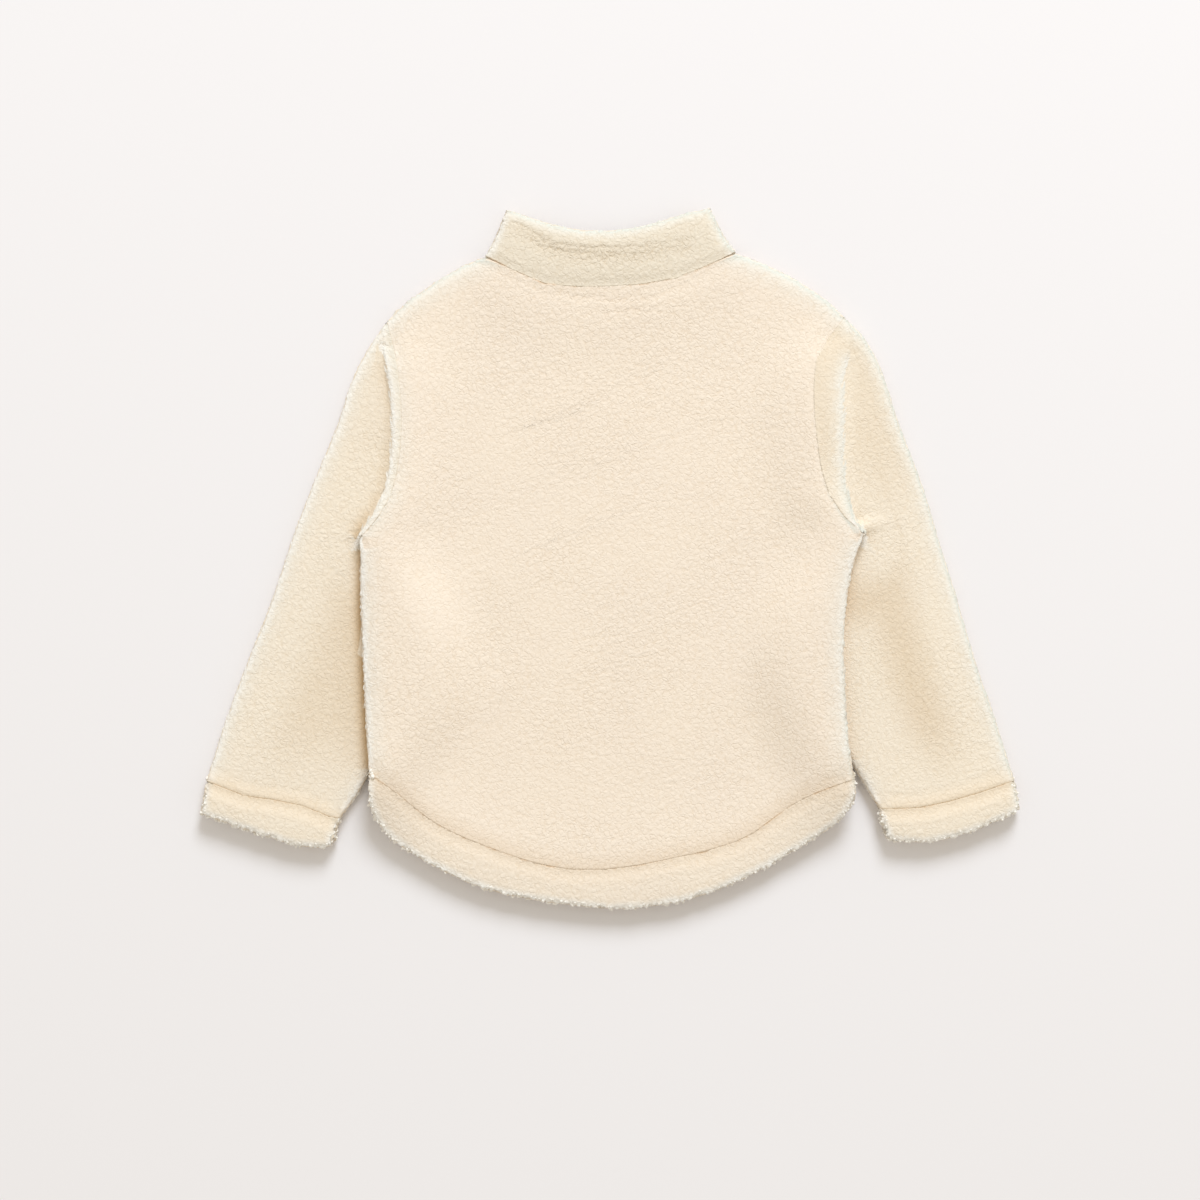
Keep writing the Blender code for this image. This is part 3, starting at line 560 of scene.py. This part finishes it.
def cloth(name, settings, walls, edges):
    """One cloth piece: the solid's own form, rippled by hand-laying and covered in pile."""
    facts = PIECES[name]
    mesh = rounded(merged_copy(name, walls), 2)
    shape = bmesh.new()
    shape.from_mesh(mesh)
    layer = shape.faces.layers.int.new("hidden")
    for face in shape.faces:
        face[layer] = gap_before(face.calc_center_median(), face.normal, walls, AGAINST) is not None
    close_seams(name, shape, walls, edges)
    refined(shape, facts["edge"] * MM, layer)
    if name in UNDERARMS:
        close_underarm(name, shape)
    shape.verts.index_update()
    shown = np.array([not any(face[layer] for face in vert.link_faces) for vert in shape.verts])
    shape.faces.layers.int.remove(layer)
    shape.to_mesh(mesh)
    shape.free()
    points = vectors(mesh.vertices, "co")
    normals = vectors(mesh.vertex_normals, "vector")
    upper = shown & (normals[:, 2] > -0.2)
    rim, outermost, shade = edges.rim_and_shade(points, upper, facts["rim"])
    seam, dip = edges.seam(points, normals[:, 2] > 0.1)
    painted_sleeve_shade = edges.painted_sleeve_shade(name, points, upper)
    rise = edges.rise(name, points, normals)
    large = tufts(points, settings.clump, SEED)
    small = tufts(points, settings.clump * 0.55, SEED + 40)
    high = 0.65 * large + 0.35 * small
    under = smooth(-normals[:, 2] * 2)
    upward = smooth(normals[:, 2] * 2)
    dent = crease_depth(points, CREASES.get(name, ())) * upward
    hollow = np.clip(dent / (0.9 * MM), 0, 1)
    curly = 0.72 + 0.2 * smooth(0.5 + 0.9 * drift(points, 0.045, SEED + 60)) + 0.7 * hollow
    relief = settings.pile * curly * (high - 0.5 - 0.5 * under)
    waves = 0.7 * drift(points, 0.07, SEED + 80) + 0.3 * drift(points, 0.03, SEED + 90)
    ripple = settings.ripple * upward * waves
    groove = GROOVE * MM * seam ** 2 * (0.5 + 0.5 * drift(points, 0.01, SEED + 95))
    # Painted light: edges turned away from the window are painted pale, for the light passing through
    # their fibres
    lit = normals[:, 0] * WINDOW[0] + normals[:, 1] * WINDOW[1]
    backlit = outermost * smooth(0.5 - lit)
    locks = tufts(points, 4.6 * MM, SEED + 30) + 0.6 * drift(points, 9 * MM, SEED + 31) - 0.55
    ragged = facts["ragged"] * MM * outermost * locks
    points += normals * ((relief + ripple - dent) * shown)[:, None]
    points[:, :2] += normals[:, :2] * (ragged * shown)[:, None]
    points[:, 2] += rise - groove * upward
    mesh.vertices.foreach_set("co", points.ravel())
    # The painted rim light ends where an edge turns down into its own shadow
    rim *= smooth((normals[:, 2] + 0.1) / 0.5)
    floats(mesh, "pile", high * shown)
    floats(mesh, "rim", rim)
    floats(mesh, "outermost", outermost)
    floats(mesh, "backlit", backlit)
    # Painted darker grey-green on the pale edges that face the window's light
    floats(mesh, "bleached", rim ** 0.7 * smooth(lit * 1.6))
    # Painted shade: before edges over the cloth, across the sleeves, in the creases and in the dips at
    # the lower seams
    floats(mesh, "shade", np.maximum(shade + painted_sleeve_shade, 0.2 * hollow + dip))
    floats(mesh, "seam", seam)
    floats(mesh, "curly", curly)
    mesh.shade_smooth()
    mesh.materials.clear()
    mesh.materials.append(sherpa(facts["colour"], settings))
    mesh.name = name + "_cloth"
    return placed(name + "_cloth", mesh, facts["slot"], name)


def placed(name, mesh, slot, *replaced):
    """Links a finished piece, which rides on the part's one body."""
    obj = bpy.data.objects.new(name, mesh)
    bpy.context.scene.collection.objects.link(obj)
    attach(obj, "root")
    if replaced:
        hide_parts(*replaced)
    return obj


def turn_along(way):
    """The turn that lays an upright shape along this way."""
    return way.to_track_quat("Z", "Y").to_matrix().to_4x4()


def outer_places(name, chance):
    """Scattered places on the outer edge of a finished band, with the way out of the cloth."""
    spacing, _, _, facing = FRINGES[name]
    source = bpy.data.objects[name + "_cloth"].data
    outermost = source.attributes["outermost"].data
    taken = set()
    places = []
    for vert in source.vertices:
        cell = tuple(round(c / (spacing * MM)) for c in vert.co)
        side = vert.co.z >= 1.6 * MM and abs(vert.normal.z) <= 0.85
        if cell in taken or outermost[vert.index].value < 0.6 or not side:
            continue
        taken.add(cell)
        if facing * vert.normal.y > -0.2 and chance.random() < 0.7:
            places.append((vert.co.copy(), vert.normal.copy()))
    return places


def add_loose_ends(shape):
    """The loose ends of pile at the hem, as short rods end to end."""
    for line in LOOSE:
        for a, b in zip(line, line[1:]):
            start, end = Vector(a) * MM, Vector(b) * MM
            bmesh.ops.create_cone(
                shape, cap_ends=True, segments=6, radius1=0.45 * MM, radius2=0.4 * MM,
                depth=(end - start).length + 0.3 * MM,
                matrix=Matrix.Translation((start + end) / 2) @ turn_along(end - start))


def fringe(name, settings):
    """Curls of pile that stand out along the outer edge of a band, as one mesh."""
    _, length, width, facing = FRINGES[name]
    chance = random.Random(SEED + len(name))
    places = outer_places(name, chance)
    result = bpy.data.meshes.new(name + "_fringe")
    total = bmesh.new()
    for start in range(0, len(places), LOT):
        some = bmesh.new()
        for place, normal in places[start:start + LOT]:
            stray = Vector([chance.uniform(-1, 1) for _ in range(3)])
            way = (0.7 * normal + 0.9 * stray).normalized()
            size = chance.uniform(0.55, 1.25)
            wide, long = width * size * chance.uniform(0.7, 1.2) * MM, length * size * MM
            matrix = (Matrix.Translation(place - normal * 0.75 * wide) @ turn_along(way)
                      @ Matrix.Diagonal((wide, wide, long, 1)))
            bmesh.ops.create_icosphere(some, subdivisions=1, radius=1.0, matrix=matrix)
        part = bpy.data.meshes.new("curls")
        some.to_mesh(part)
        some.free()
        total.from_mesh(part)
        bpy.data.meshes.remove(part)
    if name == "hem_band_back":
        add_loose_ends(total)
    total.to_mesh(result)
    total.free()
    # Painted light on the curls: the rim light, and on edges that face down the light of backlit edges
    for attribute in ("rim", "pile", "curly"):
        floats(result, attribute, np.full(len(result.vertices), 0.7))
    floats(result, "backlit", np.full(len(result.vertices), 0.5 if facing < 0 else 0.0))
    result.shade_smooth()
    result.materials.append(sherpa(PIECES[name]["colour"], settings))
    return placed(name + "_fringe", result, PIECES[name]["slot"])


# Sizes of the material's patterns, in metres
CURL = 0.0040  # width of one curl of the pile
WANDER = 0.0042  # size of the bends in the cracks between curls
BEND = 0.0028  # and how far they bend
OPEN = 0.003  # length of the stretches where the cracks are open
FIBRE = 0.0012  # fibres are finer, and drawn this coarse so that they show
CLOUD = 0.07  # size of the broad clouds
PATCH = 0.012  # length of the stretches of a seam where the ground shows
RELIEF = 0.00021  # height of the curls


def sherpa(name, settings):
    """Knitted polyester sherpa, brushed and tumbled: matt cream curls with warm cracks between."""
    label = "sherpa fleece, brushed and tumbled, " + name
    found = bpy.data.materials.get(label)
    if found:
        return found
    colour = list(getattr(settings, name))
    material = bpy.data.materials.new(label)
    material.use_nodes = True
    tree = material.node_tree
    tree.nodes.clear()
    place = add(tree, "ShaderNodeTexCoord").outputs["Object"]
    warp = add(tree, "ShaderNodeTexNoise", inputs={"Scale": 1 / WANDER, "Detail": 2.0}, Vector=place)
    centred = add(tree, "ShaderNodeVectorMath", {"operation": "SUBTRACT"}, {1: (0.5, 0.5, 0.5)},
                  _0=warp.outputs["Color"])
    shift = add(tree, "ShaderNodeVectorMath", {"operation": "SCALE"}, {"Scale": 2 * BEND},
                _0=centred.outputs["Vector"])
    bent = add(tree, "ShaderNodeVectorMath", {"operation": "ADD"}, _0=place, _1=shift.outputs["Vector"])
    curls = add(tree, "ShaderNodeTexVoronoi", {"feature": "DISTANCE_TO_EDGE"}, {"Scale": 1 / CURL},
                Vector=bent.outputs["Vector"])
    dome = add(tree, "ShaderNodeMapRange", {"interpolation_type": "SMOOTHSTEP"},
               {"From Min": 0.0, "From Max": 0.3}, Value=curls.outputs["Distance"])
    line = add(tree, "ShaderNodeMapRange", {"interpolation_type": "SMOOTHSTEP"},
               {"From Min": 0.01, "From Max": 0.11, "To Min": 1.0, "To Max": 0.0},
               Value=curls.outputs["Distance"])
    # The cracks are open only here and there, so that they read as short curved strokes
    gate = add(tree, "ShaderNodeTexNoise", inputs={"Scale": 1 / OPEN, "Detail": 0.0}, Vector=place)
    opened = add(tree, "ShaderNodeMapRange", {"interpolation_type": "SMOOTHSTEP"},
                 {"From Min": 0.4, "From Max": 0.62}, Value=gate.outputs["Fac"])
    crack = add(tree, "ShaderNodeMath", {"operation": "MULTIPLY"}, _0=line.outputs["Result"],
                _1=opened.outputs["Result"])
    fibres = add(tree, "ShaderNodeTexNoise",
                 inputs={"Scale": 1 / FIBRE, "Detail": 3.0, "Roughness": 0.7},
                 Vector=bent.outputs["Vector"])
    # In some places the pile is brushed smoother, in others it curls more
    strong = add(tree, "ShaderNodeAttribute", {"attribute_name": "curly"})
    rise = add(tree, "ShaderNodeMath", {"operation": "MULTIPLY_ADD"}, {1: 0.8},
               _0=fibres.outputs["Fac"], _2=dome.outputs["Result"])
    height = add(tree, "ShaderNodeMath", {"operation": "MULTIPLY_ADD"}, {1: -0.3},
                 _0=crack.outputs["Value"], _2=rise.outputs["Value"])
    bump = add(tree, "ShaderNodeBump", inputs={"Distance": RELIEF}, Height=height.outputs["Value"],
               Strength=strong.outputs["Fac"])

    def blend(before, share, after):
        """Mixes a colour into another by a share that a node gives."""
        node = add(tree, "ShaderNodeMix", {"data_type": "RGBA"}, Factor=share)
        for socket, value in ((6, before), (7, after)):
            if isinstance(value, bpy.types.NodeSocket):
                tree.links.new(value, node.inputs[socket])
            else:
                node.inputs[socket].default_value = value
        return node.outputs[2]

    def tinted(shares):
        """The fleece's own colour, with these shares of its red, green and blue."""
        return [c * s for c, s in zip(colour, shares)] + [1.0]

    def times(source, amount):
        """A number from a node times an amount, at most 1."""
        return add(tree, "ShaderNodeMath", {"operation": "MULTIPLY", "use_clamp": True}, {1: amount},
                   _0=source).outputs["Value"]

    def told(attribute):
        """The number that the mesh gives under this name."""
        return add(tree, "ShaderNodeAttribute", {"attribute_name": attribute}).outputs["Fac"]

    # Broad faint clouds: cooler where the nap lies flat
    clouds = add(tree, "ShaderNodeTexNoise", inputs={"Scale": 1 / CLOUD, "Detail": 2.0}, Vector=place)
    cloud = add(tree, "ShaderNodeMapRange", inputs={"From Min": 0.4, "From Max": 0.7},
                Value=clouds.outputs["Fac"])
    tone = blend(colour, times(cloud.outputs["Result"], 0.35), tinted((0.965, 0.965, 0.985)))
    # Painted rim light: free edges are painted paler, in place of the light their standing fibres catch
    tone = blend(tone, times(told("rim"), 0.85), list(settings.rim))
    # Painted light: edges turned away from the window are painted nearly white
    tone = blend(tone, times(told("backlit"), 0.9), linear("FCFAF5"))
    # and painted a darker grey-green rather than cream where they face the window, to tone down its
    # light
    tone = blend(tone, times(told("bleached"), 0.85), linear("CFD3C9"))
    # Painted glints: lighter specks where tips of single fibres would catch the light
    painted_glint = add(tree, "ShaderNodeMapRange", inputs={"From Min": 0.56, "From Max": 0.75},
                Value=fibres.outputs["Fac"])
    glint_colour = [min(1.0, c * 1.1) for c in colour[:3]] + [1.0]
    tone = blend(tone, times(painted_glint.outputs["Result"], 0.35), glint_colour)
    # Painted shade: cracks and low pile are painted warm and a little darker, for the shade between the
    # fibres
    low = add(tree, "ShaderNodeMapRange",
              inputs={"From Min": 0.0, "From Max": 0.45, "To Min": 0.16, "To Max": 0.0},
              Value=told("pile"))
    depth = add(tree, "ShaderNodeMath", {"operation": "MULTIPLY_ADD", "use_clamp": True}, {1: 0.25},
                _0=crack.outputs["Value"], _2=low.outputs["Result"])
    depth = add(tree, "ShaderNodeMath", {"operation": "MULTIPLY", "use_clamp": True},
                _0=depth.outputs["Value"], _1=strong.outputs["Fac"])
    tone = blend(tone, depth.outputs["Value"], tinted((0.80, 0.70, 0.56)))
    # Painted shade: warm brown at the foot of folds, beside higher layers, across the sleeves and in
    # creases
    tone = blend(tone, times(told("shade"), 0.75), tinted((0.72, 0.58, 0.40)))
    # Knitted ground and thread glimmer through at the seams, more in some places than in others
    broken = add(tree, "ShaderNodeTexNoise", inputs={"Scale": 1 / PATCH, "Detail": 2.0}, Vector=place)
    bare = add(tree, "ShaderNodeMapRange",
               inputs={"From Min": 0.5, "From Max": 0.7, "To Min": 0.0, "To Max": 0.5},
               Value=broken.outputs["Fac"])
    thread = add(tree, "ShaderNodeMapRange", {"interpolation_type": "SMOOTHSTEP"},
                 {"From Min": 0.62, "From Max": 0.95}, Value=told("seam"))
    thread = add(tree, "ShaderNodeMath", {"operation": "MULTIPLY"}, _0=thread.outputs["Result"],
                 _1=bare.outputs["Result"])
    tone = blend(tone, thread.outputs["Value"], linear("D3A878"))
    shader = add(tree, "ShaderNodeBsdfPrincipled",
                 inputs={"Roughness": 0.95, "Sheen Weight": 0.2, "Sheen Roughness": 0.55,
                         "Specular IOR Level": 0.1},
                 Normal=bump.outputs["Normal"])
    tree.links.new(tone, shader.inputs["Base Color"])
    add(tree, "ShaderNodeOutputMaterial", Surface=shader.outputs["BSDF"])
    return material


def make(context, *names):
    """Makes these pieces, each with its curls of pile if it has any."""
    walls = all_walls()
    edges = Edges(walls)
    for name in names:
        cloth(name, context.scene.pullover, walls, edges)
        if name in FRINGES:
            fringe(name, context.scene.pullover)


class PULLOVER_OT_body(bpy.types.Operator):
    """Makes the back and the front of the body"""
    bl_idname = "pullover.body"
    bl_label = "Body"

    def execute(self, context):
        make(context, "front", "back")
        return {"FINISHED"}


class PULLOVER_OT_sleeves(bpy.types.Operator):
    """Makes both sleeves and their cuffs"""
    bl_idname = "pullover.sleeves"
    bl_label = "Sleeves and cuffs"

    def execute(self, context):
        make(context, "sleeve_left", "sleeve_right", "cuff_left", "cuff_right")
        return {"FINISHED"}


class PULLOVER_OT_bands(bpy.types.Operator):
    """Makes the collar and the two hem bands"""
    bl_idname = "pullover.bands"
    bl_label = "Collar and hem bands"

    def execute(self, context):
        make(context, "collar", "hem_band_back", "hem_band_front")
        return {"FINISHED"}


class PULLOVER_OT_stage(bpy.types.Operator):
    """Makes the pale table top, the soft light and the camera above the pullover"""
    bl_idname = "pullover.stage"
    bl_label = "Stage"

    def execute(self, context):
        scene = context.scene
        shape = bmesh.new()
        bmesh.ops.create_grid(shape, x_segments=1, y_segments=1, size=6.0)
        mesh = bpy.data.meshes.new("table_top")
        shape.to_mesh(mesh)
        shape.free()
        table = bpy.data.objects.new("table_top", mesh)
        scene.collection.objects.link(table)
        material = bpy.data.materials.new("table top, matt white paint")
        material.use_nodes = True
        shader = material.node_tree.nodes["Principled BSDF"]
        shader.inputs["Base Color"].default_value = linear("EAE7E7")
        shader.inputs["Roughness"].default_value = 0.9
        shader.inputs["Specular IOR Level"].default_value = 0.2
        mesh.materials.append(material)
        lamp = bpy.data.lights.new("window light", "AREA")
        lamp.shape = "DISK"
        lamp.size = 2.9
        lamp.energy = 320
        lamp.color = (0.97, 1.04, 1.14)
        light = bpy.data.objects.new("window light", lamp)
        light.location = (1.2, 5.2, 4.0)
        light.rotation_euler = (-light.location).to_track_quat("-Z", "Y").to_euler()
        scene.collection.objects.link(light)
        world = bpy.data.worlds.new("studio fill")
        world.use_nodes = True
        fill = world.node_tree.nodes["Background"]
        fill.inputs["Color"].default_value = (1.0, 0.95, 0.86, 1.0)
        fill.inputs["Strength"].default_value = 0.70
        scene.world = world
        lens = bpy.data.cameras.new("camera")
        lens.lens = 85.0
        lens.sensor_width = 36.0
        camera = bpy.data.objects.new("camera", lens)
        camera.location = (-0.008, -0.0329, 2.277)
        scene.collection.objects.link(camera)
        scene.camera = camera
        scene.view_settings.view_transform = "Standard"
        scene.view_settings.look = "None"
        return {"FINISHED"}


class PULLOVER_PT_panel(bpy.types.Panel):
    """Lists the pullover's sizes, colours and pieces"""
    bl_idname = "PULLOVER_PT_panel"
    bl_label = "Sherpa fleece pullover"
    bl_space_type = "VIEW_3D"
    bl_region_type = "UI"
    bl_category = "Pullover"

    def draw(self, context):
        settings = context.scene.pullover
        for name in ("clump", "pile", "ripple", "body", "sleeve", "band", "collar", "rim"):
            self.layout.prop(settings, name)
        for operator in OPERATORS:
            self.layout.operator(operator.bl_idname)


OPERATORS = (PULLOVER_OT_body, PULLOVER_OT_sleeves, PULLOVER_OT_bands, PULLOVER_OT_stage)
CLASSES = (PulloverSettings,) + OPERATORS + (PULLOVER_PT_panel,)


def register():
    for cls in CLASSES:
        bpy.utils.register_class(cls)
    bpy.types.Scene.pullover = PointerProperty(type=PulloverSettings)


def unregister():
    del bpy.types.Scene.pullover
    for cls in reversed(CLASSES):
        bpy.utils.unregister_class(cls)


def main():
    register()
    bpy.ops.pullover.body()
    bpy.ops.pullover.sleeves()
    bpy.ops.pullover.bands()
    bpy.ops.pullover.stage()


if __name__ == "__main__":
    main()
